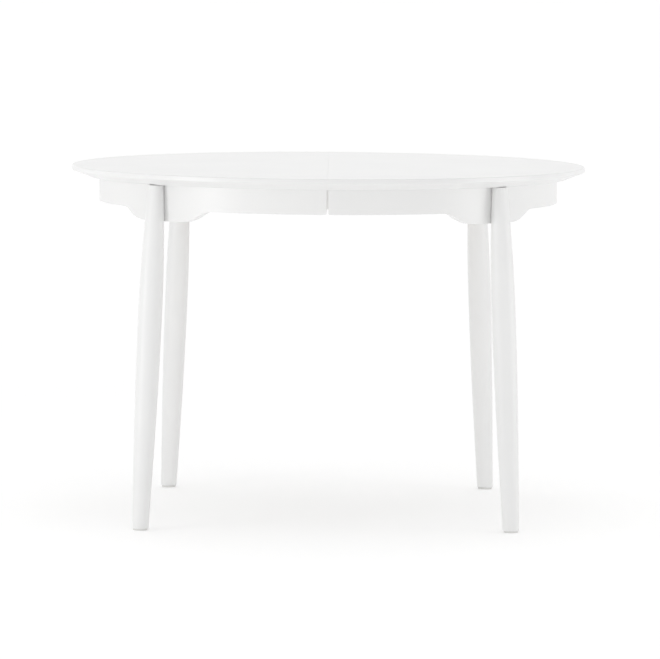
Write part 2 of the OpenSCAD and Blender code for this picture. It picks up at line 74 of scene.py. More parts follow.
Point = tuple[float, float]
Colour = tuple[float, float, float]
Socket = bpy.types.NodeSocket
Piece = bpy.types.Object
Solid = bmesh.types.BMesh
MM = 0.001

APRON_THICKNESS = 21 * MM
APRON_DEPTH = 52.5 * MM
GLIDE_HEIGHT = 4 * MM
LEG_SPLAY = math.radians(3.3)
BOLT_LENGTH = 79.4 * MM
SENSOR_WIDTH = 36.0


class Side(Enum):
    """A half of the table, by the sign of its X."""

    LEFT = -1
    RIGHT = 1

    @property
    def word(self) -> str:
        """The half's name, as node names use it."""
        return self.name.lower()

    @property
    def body(self) -> str:
        """The moving body that carries this half."""
        return f"{self.word}_half"


class Face(Enum):
    """The front or the back of the table, by the sign of its Y."""

    FRONT = -1
    BACK = 1

    @property
    def word(self) -> str:
        """The face's name, as node names use it."""
        return self.name.lower()


class Grain(Enum):
    """The way that the grain of a wooden piece runs."""

    ALONG_X = (1.0, 14.0, 14.0)
    ALONG_Y = (14.0, 1.0, 14.0)
    ALONG_Z = (14.0, 14.0, 1.0)


# ---------------------------------------------------------------- finishes


class ShaderTree:
    """Small helper that adds and links the nodes of one material."""

    def __init__(self, name: str) -> None:
        """Start a material with a principled shader and its output.

        Args:
            name: Name of the material.
        """
        self.material = bpy.data.materials.new(name)
        self.material.use_nodes = True
        self.tree = self.material.node_tree
        self.shader = self.tree.nodes["Principled BSDF"]

    def add(self, kind: str, **settings: object) -> bpy.types.Node:
        """Add a node.

        Args:
            kind: Blender's type name of the node.
            settings: Attributes to set on the node.

        Returns:
            The new node.
        """
        node = self.tree.nodes.new(kind)
        for key, value in settings.items():
            setattr(node, key, value)
        return node

    def link(self, source: Socket, target: Socket) -> None:
        """Join an output socket to an input socket."""
        self.tree.links.new(source, target)

    def constants(self, **values: float) -> None:
        """Set plain values on the principled shader's own sockets.

        Args:
            values: Socket names in lower case with underscores, and their values.
        """
        for key, value in values.items():
            self.shader.inputs[key.replace("_", " ").title().replace("Ior", "IOR")].default_value = value

    def place(self, scale: Sequence[float] = (1.0, 1.0, 1.0)) -> Socket:
        """Object coordinates, scaled.

        Args:
            scale: Scale along X, Y and Z.

        Returns:
            The socket that holds the scaled coordinates.
        """
        coordinates = self.add("ShaderNodeTexCoord")
        mapping = self.add("ShaderNodeMapping")
        mapping.inputs["Scale"].default_value = scale
        self.link(coordinates.outputs["Object"], mapping.inputs["Vector"])
        return mapping.outputs["Vector"]

    def noise(self, place: Socket, scale: float, detail: float = 3.0,
              distortion: float = 0.0) -> Socket:
        """A noise pattern.

        Args:
            place: Coordinates that the pattern reads.
            scale: Scale of the noise.
            detail: Octaves of the noise.
            distortion: Distortion of the noise.

        Returns:
            The socket that holds the pattern, from 0 to 1.
        """
        node = self.add("ShaderNodeTexNoise")
        node.inputs["Scale"].default_value = scale
        node.inputs["Detail"].default_value = detail
        node.inputs["Distortion"].default_value = distortion
        self.link(place, node.inputs["Vector"])
        return node.outputs["Fac"]

    def ramp(self, factor: Socket, stops: Sequence[tuple[float, Colour]]) -> Socket:
        """Map a pattern to colours.

        Args:
            factor: The pattern.
            stops: Places from 0 to 1, with their colours.

        Returns:
            The colour socket.
        """
        node = self.add("ShaderNodeValToRGB")
        elements = node.color_ramp.elements
        while len(elements) < len(stops):
            elements.new(0.5)
        for element, (place, colour) in zip(elements, stops):
            element.position = place
            element.color = (*colour, 1.0)
        self.link(factor, node.inputs["Fac"])
        return node.outputs["Color"]

    def band(self, factor: Socket, low: float, high: float) -> Socket:
        """Map a pattern from 0..1 to low..high.

        Args:
            factor: The pattern.
            low: Value where the pattern is 0.
            high: Value where the pattern is 1.

        Returns:
            The value socket.
        """
        node = self.add("ShaderNodeMapRange")
        node.inputs["To Min"].default_value = low
        node.inputs["To Max"].default_value = high
        self.link(factor, node.inputs["Value"])
        return node.outputs["Result"]

    def bump(self, height: Socket, depth: float, strength: float,
             under: Optional[Socket] = None) -> Socket:
        """Raise a pattern as a bump.

        Args:
            height: The pattern.
            depth: Height of the pattern in metres.
            strength: Strength from 0 to 1.
            under: Normal of another bump that this one lies on.

        Returns:
            The normal socket.
        """
        node = self.add("ShaderNodeBump")
        node.inputs["Distance"].default_value = depth
        node.inputs["Strength"].default_value = strength
        self.link(height, node.inputs["Height"])
        if under is not None:
            self.link(under, node.inputs["Normal"])
        return node.outputs["Normal"]

    def edges(self, softness: float) -> Socket:
        """How far a point is on an outer edge, from its pointiness.

        Args:
            softness: Width of the step around the flat value.

        Returns:
            The value socket, 0 on flats and 1 on outer edges.
        """
        geometry = self.add("ShaderNodeNewGeometry")
        step = self.add("ShaderNodeMapRange")
        step.inputs["From Min"].default_value = 0.5
        step.inputs["From Max"].default_value = 0.5 + softness
        self.link(geometry.outputs["Pointiness"], step.inputs["Value"])
        return step.outputs["Result"]

    def mix(self, factor: Socket, first: Socket, second: Colour) -> Socket:
        """Blend a colour socket towards a plain colour.

        Args:
            factor: How much of the second colour shows.
            first: The first colour.
            second: The second colour.

        Returns:
            The blended colour socket.
        """
        node = self.add("ShaderNodeMix", data_type="RGBA")
        self.link(factor, node.inputs[0])
        self.link(first, node.inputs[6])
        node.inputs[7].default_value = (*second, 1.0)
        return node.outputs[2]


@dataclass(frozen=True)
class Lacquer:
    """White satin lacquer, sprayed on sanded wood."""

    name: str = "white_satin_lacquer"
    slot: str = "white_lacquer"
    light: Colour = (0.82, 0.82, 0.815)
    deep: Colour = (0.80, 0.80, 0.797)
    edge: Colour = (0.845, 0.843, 0.835)
    grain: Grain = Grain.ALONG_X

    def build(self) -> bpy.types.Material:
        """Make the material: cloudy spray, orange peel, a trace of grain and thinner edges."""
        tree = ShaderTree(self.name)
        place = tree.place()
        cloud = tree.noise(place, 6.0, 2.0)
        colour = tree.ramp(cloud, [(0.3, self.deep), (0.7, self.light)])
        worn = tree.band(tree.edges(0.06), 0.0, 0.5)
        tree.link(tree.mix(worn, colour, self.edge), tree.shader.inputs["Base Color"])
        tree.link(tree.band(tree.noise(place, 45.0, 4.0), 0.34, 0.43), tree.shader.inputs["Roughness"])
        fibres = tree.noise(tree.place(self.grain.value), 60.0, 5.0, 0.4)
        ground = tree.bump(fibres, 0.02 * MM, 0.25)
        peel = tree.noise(place, 900.0, 2.0)
        tree.link(tree.bump(peel, 0.012 * MM, 0.35, ground), tree.shader.inputs["Normal"])
        tree.constants(ior=1.45, specular_ior_level=0.36, coat_weight=0.12, coat_roughness=0.3)
        return tree.material


@dataclass(frozen=True)
class Timber:
    """Planed wood, oiled or waxed, with its grain along one axis."""

    name: str
    slot: str
    pale: Colour
    mid: Colour
    dark: Colour
    grain: Grain
    sheen_low: float = 0.42
    sheen_high: float = 0.62

    def build(self) -> bpy.types.Material:
        """Make the material: year rings, fine fibres, short flecks and paler edges."""
        tree = ShaderTree(self.name)
        place = tree.place(self.grain.value)
        rings = tree.noise(place, 5.0, 3.0, 1.6)
        fibres = tree.noise(place, 55.0, 6.0, 0.3)
        flecks = tree.noise(place, 160.0, 2.0)
        blend = tree.add("ShaderNodeMath", operation="MULTIPLY_ADD")
        tree.link(fibres, blend.inputs[0])
        blend.inputs[1].default_value = 0.35
        soft = tree.band(rings, 0.0, 0.65)
        tree.link(soft, blend.inputs[2])
        colour = tree.ramp(blend.outputs[0], [(0.28, self.pale), (0.5, self.mid), (0.74, self.dark)])
        worn = tree.band(tree.edges(0.08), 0.0, 0.35)
        tree.link(tree.mix(worn, colour, self.pale), tree.shader.inputs["Base Color"])
        tree.link(tree.band(fibres, self.sheen_low, self.sheen_high), tree.shader.inputs["Roughness"])
        ground = tree.bump(fibres, 0.08 * MM, 0.4)
        tree.link(tree.bump(flecks, 0.03 * MM, 0.3, ground), tree.shader.inputs["Normal"])
        tree.constants(ior=1.46, specular_ior_level=0.4)
        return tree.material


@dataclass(frozen=True)
class Metal:
    """Plated or turned metal, with fine tool marks."""

    name: str
    slot: str
    bright: Colour
    dull: Colour
    rough_low: float = 0.22
    rough_high: float = 0.38
    marks: Sequence[float] = (1.0, 1.0, 1.0)

    def build(self) -> bpy.types.Material:
        """Make the material: spangle, tool marks and bright rubbed edges."""
        tree = ShaderTree(self.name)
        place = tree.place()
        spangle = tree.noise(place, 240.0, 3.0)
        colour = tree.ramp(spangle, [(0.35, self.dull), (0.65, self.bright)])
        rubbed = tree.band(tree.edges(0.08), 0.0, 0.6)
        tree.link(tree.mix(rubbed, colour, self.bright), tree.shader.inputs["Base Color"])
        scratches = tree.noise(tree.place(self.marks), 700.0, 3.0)
        tree.link(tree.band(scratches, self.rough_low, self.rough_high), tree.shader.inputs["Roughness"])
        tree.link(tree.bump(scratches, 0.01 * MM, 0.4), tree.shader.inputs["Normal"])
        tree.constants(metallic=1.0)
        return tree.material


@dataclass(frozen=True)
class Nylon:
    """Moulded nylon with a fine texture from its mould."""

    name: str = "moulded_nylon"
    slot: str = "white_nylon"
    pale: Colour = (0.74, 0.74, 0.72)
    dark: Colour = (0.68, 0.68, 0.66)

    def build(self) -> bpy.types.Material:
        """Make the material: faint flow marks, a spark-eroded skin and scuffed edges."""
        tree = ShaderTree(self.name)
        place = tree.place()
        flow = tree.noise(place, 30.0, 2.0, 0.8)
        colour = tree.ramp(flow, [(0.3, self.dark), (0.7, self.pale)])
        scuffed = tree.band(tree.edges(0.08), 0.0, 0.3)
        tree.link(tree.mix(scuffed, colour, self.dark), tree.shader.inputs["Base Color"])
        tree.link(tree.band(flow, 0.42, 0.55), tree.shader.inputs["Roughness"])
        tree.link(tree.bump(tree.noise(place, 1500.0, 2.0), 0.02 * MM, 0.3), tree.shader.inputs["Normal"])
        tree.constants(ior=1.5, specular_ior_level=0.4)
        return tree.material


@dataclass
class Finishes:
    """Every finish of the table, each made once."""

    made: dict[str, bpy.types.Material] = field(default_factory=dict)

    def of(self, finish: "Lacquer | Timber | Metal | Nylon") -> bpy.types.Material:
        """The material of a finish.

        Args:
            finish: The finish.

        Returns:
            Its material, made the first time that it is asked for.
        """
        if finish.name not in self.made:
            self.made[finish.name] = finish.build()
            log.info("finish %s", finish.name)
        return self.made[finish.name]


BEECH = dict(slot="beech", pale=(0.76, 0.63, 0.48), mid=(0.70, 0.56, 0.41), dark=(0.60, 0.46, 0.32))
TOP_LACQUER = Lacquer()
LEG_LACQUER = Lacquer(name="white_satin_lacquer_legs", grain=Grain.ALONG_Z)
BEECH_X = Timber(name="beech_along_x", grain=Grain.ALONG_X, **BEECH)
BEECH_Y = Timber(name="beech_along_y", grain=Grain.ALONG_Y, **BEECH)
SLIDE_LACQUER = Lacquer(name="white_satin_lacquer_slides", slot="slide_wood")
ZINC = Metal(name="bright_zinc", slot="zinc_steel", bright=(0.72, 0.73, 0.75), dull=(0.56, 0.57, 0.6))
ROLLED_ZINC = Metal(name="rolled_zinc_sheet", slot="zinc_steel", bright=(0.68, 0.69, 0.7),
                    dull=(0.5, 0.51, 0.53), rough_low=0.28, rough_high=0.46, marks=(1.0, 18.0, 18.0))
BRASS = Metal(name="turned_brass", slot="brass", bright=(0.83, 0.66, 0.35), dull=(0.68, 0.51, 0.24),
              marks=(18.0, 1.0, 1.0))
NYLON = Nylon()


# ---------------------------------------------------------------- mesh tools


def arc_corner(before: Point, corner: Point, after: Point, radius: float, steps: int) -> list[Point]:
    """Round one corner of an outline.

    Args:
        before: The point before the corner.
        corner: The corner.
        after: The point after the corner.
        radius: Radius of the rounding.
        steps: Straight pieces in the rounding.

    Returns:
        The points of the rounding, from the side of before to that of after.
    """
    here = Vector(corner)
    to_before = (Vector(before) - here).normalized()
    to_after = (Vector(after) - here).normalized()
    half = to_before.angle(to_after) / 2
    reach = radius / math.tan(half)
    centre = here + (to_before + to_after).normalized() * (radius / math.sin(half))
    start = here + to_before * reach - centre
    sweep = start.angle_signed(here + to_after * reach - centre)
    points = []
    for step in range(steps + 1):
        turn = -sweep * step / steps
        x = start.x * math.cos(turn) - start.y * math.sin(turn)
        y = start.x * math.sin(turn) + start.y * math.cos(turn)
        points.append((centre.x + x, centre.y + y))
    return points


def rounded(corners: Sequence[tuple[float, float, float]], steps: int = 6) -> list[Point]:
    """An open outline with rounded corners.

    Args:
        corners: Points as (x, y, radius); a radius of 0 keeps the corner.
        steps: Straight pieces in each rounding.

    Returns:
        The points of the outline.
    """
    points: list[Point] = []
    for index, (x, y, radius) in enumerate(corners):
        if radius and 0 < index < len(corners) - 1:
            points += arc_corner(corners[index - 1][:2], (x, y), corners[index + 1][:2], radius, steps)
        else:
            points.append((x, y))
    return points


def revolve(outline: Sequence[Point], turns: int) -> Solid:
    """Turn an outline of (radius, height) about Z into a closed solid.

    Args:
        outline: Points from one end on the axis to the other; the ends have radius 0.
        turns: Facets around the axis.

    Returns:
        The solid.
    """
    made = bmesh.new()
    rings = []
    for radius, height in outline:
        if radius <= 1e-9:
            rings.append([made.verts.new((0, 0, height))])
        else:
            rings.append([made.verts.new((radius * math.cos(a), radius * math.sin(a), height))
                          for a in (2 * math.pi * i / turns for i in range(turns))])
    for low, high in zip(rings, rings[1:]):
        for i in range(turns):
            j = (i + 1) % turns
            corners = [low[i % len(low)], low[j % len(low)], high[j % len(high)], high[i % len(high)]]
            unique = list(dict.fromkeys(corners))
            if len(unique) > 2:
                made.faces.new(unique)
    bmesh.ops.recalc_face_normals(made, faces=made.faces)
    return made


def outward(made: Solid) -> None:
    """Merge doubles and turn every face outwards."""
    bmesh.ops.remove_doubles(made, verts=made.verts, dist=1e-6)
    bmesh.ops.recalc_face_normals(made, faces=made.faces)


def cut_level(made: Solid, point: Vector, keep: Vector) -> list[bmesh.types.BMEdge]:
    """Saw a solid through with a plane and close the cut.

    Args:
        made: The solid.
        point: A point on the plane.
        keep: Direction from the plane to what stays.

    Returns:
        The edges around the new face.
    """
    geometry = made.verts[:] + made.edges[:] + made.faces[:]
    cut = bmesh.ops.bisect_plane(made, geom=geometry, plane_co=point, plane_no=keep, clear_inner=True)
    edges = [e for e in cut["geom_cut"] if isinstance(e, bmesh.types.BMEdge)]
    filled = bmesh.ops.contextual_create(made, geom=edges)
    face_edges = {e for f in filled["faces"] for e in f.edges}
    return list(face_edges) or edges


def crisp(mesh: bpy.types.Mesh, angle: float) -> None:
    """Shade a mesh smooth, with its sharp edges kept.

    Args:
        mesh: The mesh.
        angle: Angle between faces, in degrees, past which an edge is sharp.
    """
    made = bmesh.new()
    made.from_mesh(mesh)
    limit = math.radians(angle)
    for face in made.faces:
        face.smooth = True
    for edge in made.edges:
        edge.smooth = len(edge.link_faces) == 2 and edge.calc_face_angle(0.0) < limit
    made.to_mesh(mesh)
    made.free()


def new_object(name: str, made: Solid) -> Piece:
    """Put a bmesh into the scene as an object.

    Args:
        name: Name of the piece.
        made: Its mesh, which is freed.

    Returns:
        The object.
    """
    mesh = bpy.data.meshes.new(name)
    made.to_mesh(mesh)
    made.free()
    piece = bpy.data.objects.new(name, mesh)
    bpy.context.scene.collection.objects.link(piece)
    return piece


def settle(piece: Piece) -> None:
    """Turn a piece's modifiers into plain mesh."""
    graph = bpy.context.evaluated_depsgraph_get()
    final = bpy.data.meshes.new_from_object(piece.evaluated_get(graph), depsgraph=graph)
    final.name = piece.name
    piece.modifiers.clear()
    old, piece.data = piece.data, final
    bpy.data.meshes.remove(old)


def clean_normals(piece: Piece, angle: float) -> None:
    """Shade a piece smooth between its sharp edges and give its flats clean normals.

    Args:
        piece: The piece.
        angle: Angle between faces, in degrees, past which an edge is sharp.
    """
    crisp(piece.data, angle)
    piece.modifiers.new("flats", "WEIGHTED_NORMAL").keep_sharp = True
    settle(piece)


def cut_away(piece: Piece, made: Solid, use_self: bool = False) -> None:
    """Cut a solid out of a piece.

    Args:
        piece: The piece.
        made: What is cut away, which is freed.
        use_self: Whether parts of the cutter may overlap each other.
    """
    cutter = new_object("cutter", made)
    cut = piece.modifiers.new("cut", "BOOLEAN")
    cut.operation = "DIFFERENCE"
    cut.solver = "EXACT"
    cut.use_self = use_self
    cut.object = cutter
    settle(piece)
    bpy.data.objects.remove(cutter)


def ease(piece: Piece, width: float, steps: int = 3, angle: float = 50.0,
         weighted: bool = False) -> None:
    """Round a piece's edges with a bevel and give its flats clean normals.

    Args:
        piece: The piece.
        width: Width of the bevel in metres.
        steps: Segments of the bevel.
        angle: Edges sharper than this many degrees are rounded.
        weighted: Round only the edges that carry a bevel weight.
    """
    bevel = piece.modifiers.new("eased", "BEVEL")
    bevel.width = width
    bevel.segments = steps
    bevel.limit_method = "WEIGHT" if weighted else "ANGLE"
    bevel.angle_limit = math.radians(angle)
    bevel.use_clamp_overlap = not weighted
    settle(piece)
    clean_normals(piece, 40.0)


def finish_piece(piece: Piece, material: bpy.types.Material, slot: str, body: str,
                 *nodes: str) -> Piece:
    """Give a piece its finish and tell the frame what it is.

    Args:
        piece: The piece.
        material: Its finish.
        slot: The record's material slot; not used.
        body: The body that it rides on.
        nodes: CAD nodes that it stands for.

    Returns:
        The piece.
    """
    piece.data.materials.clear()
    piece.data.materials.append(material)
    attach(piece, body)
    if nodes:
        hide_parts(*nodes)
    log.info("%s on %s, %d faces", piece.name, body, len(piece.data.polygons))
    return piece


def merged_copy(node: str) -> Solid:
    """A CAD node's mesh with its loose triangles joined and its flats made whole.

    Args:
        node: Name of the node.

    Returns:
        The joined mesh.
    """
    made = bmesh.new()
    made.from_mesh(frame["nodes"][node].data)
    bmesh.ops.remove_doubles(made, verts=made.verts, dist=1e-6)
    bmesh.ops.dissolve_limit(made, angle_limit=math.radians(0.3), verts=made.verts, edges=made.edges)
    return made


def solids_of(node: str) -> list[tuple[Vector, Vector]]:
    """The box of each separate solid in a CAD node.

    Args:
        node: Name of the node.

    Returns:
        Lowest and highest corner of each solid.
    """
    made = merged_copy(node)
    unseen = set(made.verts)
    boxes = []
    while unseen:
        queue = [unseen.pop()]
        group = []
        while queue:
            vertex = queue.pop()
            group.append(vertex.co.copy())
            for edge in vertex.link_edges:
                other = edge.other_vert(vertex)
                if other in unseen:
                    unseen.remove(other)
                    queue.append(other)
        boxes.append((Vector([min(c[i] for c in group) for i in range(3)]),
                      Vector([max(c[i] for c in group) for i in range(3)])))
    made.free()
    return sorted(boxes, key=lambda b: (round(b[0].y, 5), round(b[0].x, 5), round(b[0].z, 5)))


# ---------------------------------------------------------------- geometry nodes


class NodeTree:
    """A Geometry Nodes tree with named inputs, built in code."""

    def __init__(self, name: str) -> None:
        """Start an empty tree with a geometry input and output.

        Args:
            name: Name of the tree.
        """
        self.tree = bpy.data.node_groups.new(name, "GeometryNodeTree")
        self.tree.interface.new_socket("Geometry", in_out="INPUT", socket_type="NodeSocketGeometry")
        self.tree.interface.new_socket("Geometry", in_out="OUTPUT", socket_type="NodeSocketGeometry")
        self.ids: dict[str, str] = {}
        self.source = self.tree.nodes.new("NodeGroupInput")
        self.sink = self.tree.nodes.new("NodeGroupOutput")

    def input(self, name: str, kind: str) -> Socket:
        """Add a named input.

        Args:
            name: Name of the input.
            kind: Blender's socket type.

        Returns:
            The socket inside the tree.
        """
        socket = self.tree.interface.new_socket(name, in_out="INPUT", socket_type=kind)
        self.ids[name] = socket.identifier
        return self.source.outputs[name]

    def add(self, kind: str, inputs: Optional[dict[str, object]] = None,
            **settings: object) -> bpy.types.Node:
        """Add a node and feed its inputs.

        Args:
            kind: Blender's type name of the node.
            inputs: Input names with a socket to link or a plain value.
            settings: Attributes to set on the node.

        Returns:
            The new node.
        """
        node = self.tree.nodes.new(kind)
        for key, value in settings.items():
            setattr(node, key, value)
        for key, value in (inputs or {}).items():
            self.feed(value, node.inputs[key])
        return node

    def feed(self, value: object, target: Socket) -> None:
        """Link a socket to an input, or set the input to a plain value."""
        if isinstance(value, Socket):
            self.tree.links.new(value, target)
        else:
            target.default_value = value

    def calc(self, operation: str, *values: object) -> Socket:
        """A calculation on up to three sockets or plain numbers.

        Args:
            operation: Blender's name of the operation.
            values: The sockets or numbers.

        Returns:
            The result.
        """
        node = self.tree.nodes.new("ShaderNodeMath")
        node.operation = operation
        for index, value in enumerate(values):
            self.feed(value, node.inputs[index])
        return node.outputs[0]

    def apply(self, piece: Piece, values: dict[str, object]) -> None:
        """Run the tree on a piece and turn the result into plain mesh.

        Args:
            piece: The piece, whose mesh is what the tree works on.
            values: Values of the named inputs.
        """
        modifier = piece.modifiers.new(self.tree.name, "NODES")
        modifier.node_group = self.tree
        for name, value in values.items():
            modifier[self.ids[name]] = value
        settle(piece)


class TurnedLegTree(NodeTree):
    """Grows a turned leg blank along Z: a swelling shaft whose radius follows two curves."""

    def __init__(self) -> None:
        """Build the tree with the leg's sizes as named inputs."""
        super().__init__("turned_leg")
        low, high, foot, middle, head, middle_z, head_z, power = (
            self.input(name, "NodeSocketFloat")
            for name in ("Low End", "High End", "Foot Radius", "Middle Radius", "Head Radius",
                         "Middle Height", "Head Height", "Shoulder Power"))
        rings, sides = (self.input(name, "NodeSocketInt") for name in ("Rings", "Sides"))
        material = self.input("Finish", "NodeSocketMaterial")
        start = self.add("ShaderNodeCombineXYZ", {"Z": low})
        end = self.add("ShaderNodeCombineXYZ", {"Z": high})
        line = self.add("GeometryNodeCurvePrimitiveLine", {"Start": start.outputs[0], "End": end.outputs[0]})
        axis = self.add("GeometryNodeResampleCurve", {"Curve": line.outputs[0], "Count": rings}, mode="COUNT")
        position = self.add("GeometryNodeInputPosition")
        place = self.add("ShaderNodeSeparateXYZ", {"Vector": position.outputs[0]})
        height = place.outputs["Z"]
        share = self.calc("MAXIMUM", self.calc("DIVIDE", height, middle_z), 0.0)
        wave = self.calc("SINE", self.calc("MULTIPLY", share, math.pi / 2))
        below = self.calc("MULTIPLY_ADD", self.calc("SUBTRACT", middle, foot), wave, foot)
        rise = self.calc("DIVIDE", self.calc("SUBTRACT", height, middle_z),
                         self.calc("SUBTRACT", head_z, middle_z))
        fall = self.calc("POWER", self.calc("MAXIMUM", rise, 0.0), power)
        above = self.calc("MULTIPLY_ADD", self.calc("SUBTRACT", head, middle), fall, middle)
        choose = self.add("GeometryNodeSwitch", {"Switch": self.calc("GREATER_THAN", height, middle_z)},
                          input_type="FLOAT")
        self.feed(below, choose.inputs["False"])
        self.feed(above, choose.inputs["True"])
        circle = self.add("GeometryNodeCurvePrimitiveCircle", {"Resolution": sides, "Radius": 1.0})
        skin = self.add("GeometryNodeCurveToMesh", {
            "Curve": axis.outputs[0], "Profile Curve": circle.outputs[0],
            "Scale": choose.outputs[0], "Fill Caps": True})
        real = self.add("GeometryNodeRealizeInstances", {"Geometry": skin.outputs[0]})
        dressed = self.add("GeometryNodeSetMaterial", {"Geometry": real.outputs[0], "Material": material})
        self.feed(dressed.outputs[0], self.sink.inputs[0])


class FastenerTree(NodeTree):
    """Sets one fastener on every point, aimed along the point's own direction."""

    def __init__(self) -> None:
        """Build the tree: aim, a random turn about the fastener's axis, realize, dress."""
        super().__init__("set_fasteners")
        fastener = self.input("Fastener", "NodeSocketObject")
        seed = self.input("Seed", "NodeSocketInt")
        size = self.input("Size", "NodeSocketFloat")
        material = self.input("Finish", "NodeSocketMaterial")
        info = self.add("GeometryNodeObjectInfo", {"Object": fastener})
        aim = self.add("GeometryNodeInputNamedAttribute", {"Name": "aim"}, data_type="FLOAT_VECTOR")
        aimed = self.add("FunctionNodeAlignRotationToVector", {"Vector": aim.outputs[0]}, axis="Z")
        chance = self.add("FunctionNodeRandomValue", data_type="FLOAT")
        chance.inputs[3].default_value = 2 * math.pi
        self.feed(seed, chance.inputs["Seed"])
        turn = self.add("FunctionNodeAxisAngleToRotation", {
            "Axis": (0.0, 0.0, 1.0), "Angle": chance.outputs[1]})
        both = self.add("FunctionNodeRotateRotation", {
            "Rotation": aimed.outputs[0], "Rotate By": turn.outputs[0]}, rotation_space="LOCAL")
        placed = self.add("GeometryNodeInstanceOnPoints", {
            "Points": self.source.outputs["Geometry"], "Instance": info.outputs["Geometry"],
            "Rotation": both.outputs[0], "Scale": size})
        real = self.add("GeometryNodeRealizeInstances", {"Geometry": placed.outputs[0]})
        dressed = self.add("GeometryNodeSetMaterial", {"Geometry": real.outputs[0], "Material": material})
        self.feed(dressed.outputs[0], self.sink.inputs[0])


# ---------------------------------------------------------------- lacquered pieces


@dataclass(frozen=True)
class TopSizes:
    """Sizes of the split top, read from the frame where it holds them."""

    radius: float
    top_z: float
    under_z: float
    seam: float
    band: float = 7.5 * MM
    undercut: float = 37 * MM
    arris: float = 2.5 * MM
    soft: float = 1.2 * MM
    support: float = 5 * MM
    facets: int = 384

    @classmethod
    def from_frame(cls) -> "TopSizes":
        """Read the top's radius, levels and seam from the CAD halves."""
        low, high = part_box("top_right")
        return cls(radius=-low.y, top_z=high.z, under_z=low.z, seam=low.x)


@dataclass
class HalfTop:
    """One half of the top: a lacquered board that thins towards its rim."""

    side: Side
    sizes: TopSizes

    def outline(self) -> list[Point]:
        """Half section of the disc, from the axis below, round the rim, to the axis above."""
        s = self.sizes
        rim_low = s.top_z - s.arris - s.band
        corners = [
            (0.0, s.under_z, 0.0), (s.radius - s.undercut - s.support, s.under_z, 0.0),
            (s.radius - s.undercut, s.under_z, s.soft), (s.radius, rim_low, s.soft),
            (s.radius, s.top_z, s.arris), (s.radius - s.arris - s.support, s.top_z, 0.0),
            (0.0, s.top_z, 0.0),
        ]
        return rounded(corners, 8)

    def build(self, finishes: Finishes) -> Piece:
        """Make the half top and stand it for its CAD node.

        Args:
            finishes: The shared finishes.

        Returns:
            The piece.
        """
        made = revolve(self.outline(), self.sizes.facets)
        keep = Vector((self.side.value, 0, 0))
        cut_level(made, keep * self.sizes.seam, keep)
        bmesh.ops.dissolve_limit(made, angle_limit=math.radians(0.05), verts=made.verts, edges=made.edges)
        outward(made)
        piece = new_object(f"half_top_{self.side.word}", made)
        ease(piece, 0.12 * MM, steps=2, angle=60.0)
        return finish_piece(piece, finishes.of(TOP_LACQUER), TOP_LACQUER.slot, self.side.body,
                            f"top_{self.side.word}")


@dataclass(frozen=True)
class ApronSizes:
    """Sizes of the apron ring."""

    outer: float
    inner: float
    under_z: float
    apron_z: float
    foot_z: float
    seam: float
    bracket_flat: float = 54 * MM
    bracket_run: float = 76 * MM
    corner: float = 3 * MM
    step: float = math.radians(0.45)

    @classmethod
    def from_frame(cls) -> "ApronSizes":
        """Read the ring's radii and levels from the CAD lengths."""
        low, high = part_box("apron_right_side")
        seam_low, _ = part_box("apron_right_front")
        return cls(outer=high.x, inner=high.x - APRON_THICKNESS, under_z=high.z,
                   apron_z=high.z - APRON_DEPTH, foot_z=low.z, seam=seam_low.x)

    @property
    def slope(self) -> float:
        """Steepest angle of the bracket's S-curve, in radians."""
        return 2 * math.atan((self.apron_z - self.foot_z) / self.bracket_run)

    def lower_edge(self, sideways: float) -> float:
        """Height of the apron's lower edge at a distance sideways from a leg's radial line.

        Args:
            sideways: The distance in metres.

        Returns:
            The height in metres.
        """
        radii = self.bracket_run / math.sin(self.slope)
        shoulder, toe = radii / 3, radii * 2 / 3
        past = abs(sideways) - self.bracket_flat
        if past <= 0:
            return self.foot_z
        if past >= self.bracket_run:
            return self.apron_z
        if past <= toe * math.sin(self.slope):
            return self.foot_z + toe - math.sqrt(toe ** 2 - past ** 2)
        left = self.bracket_run - past
        return self.apron_z - shoulder + math.sqrt(shoulder ** 2 - left ** 2)


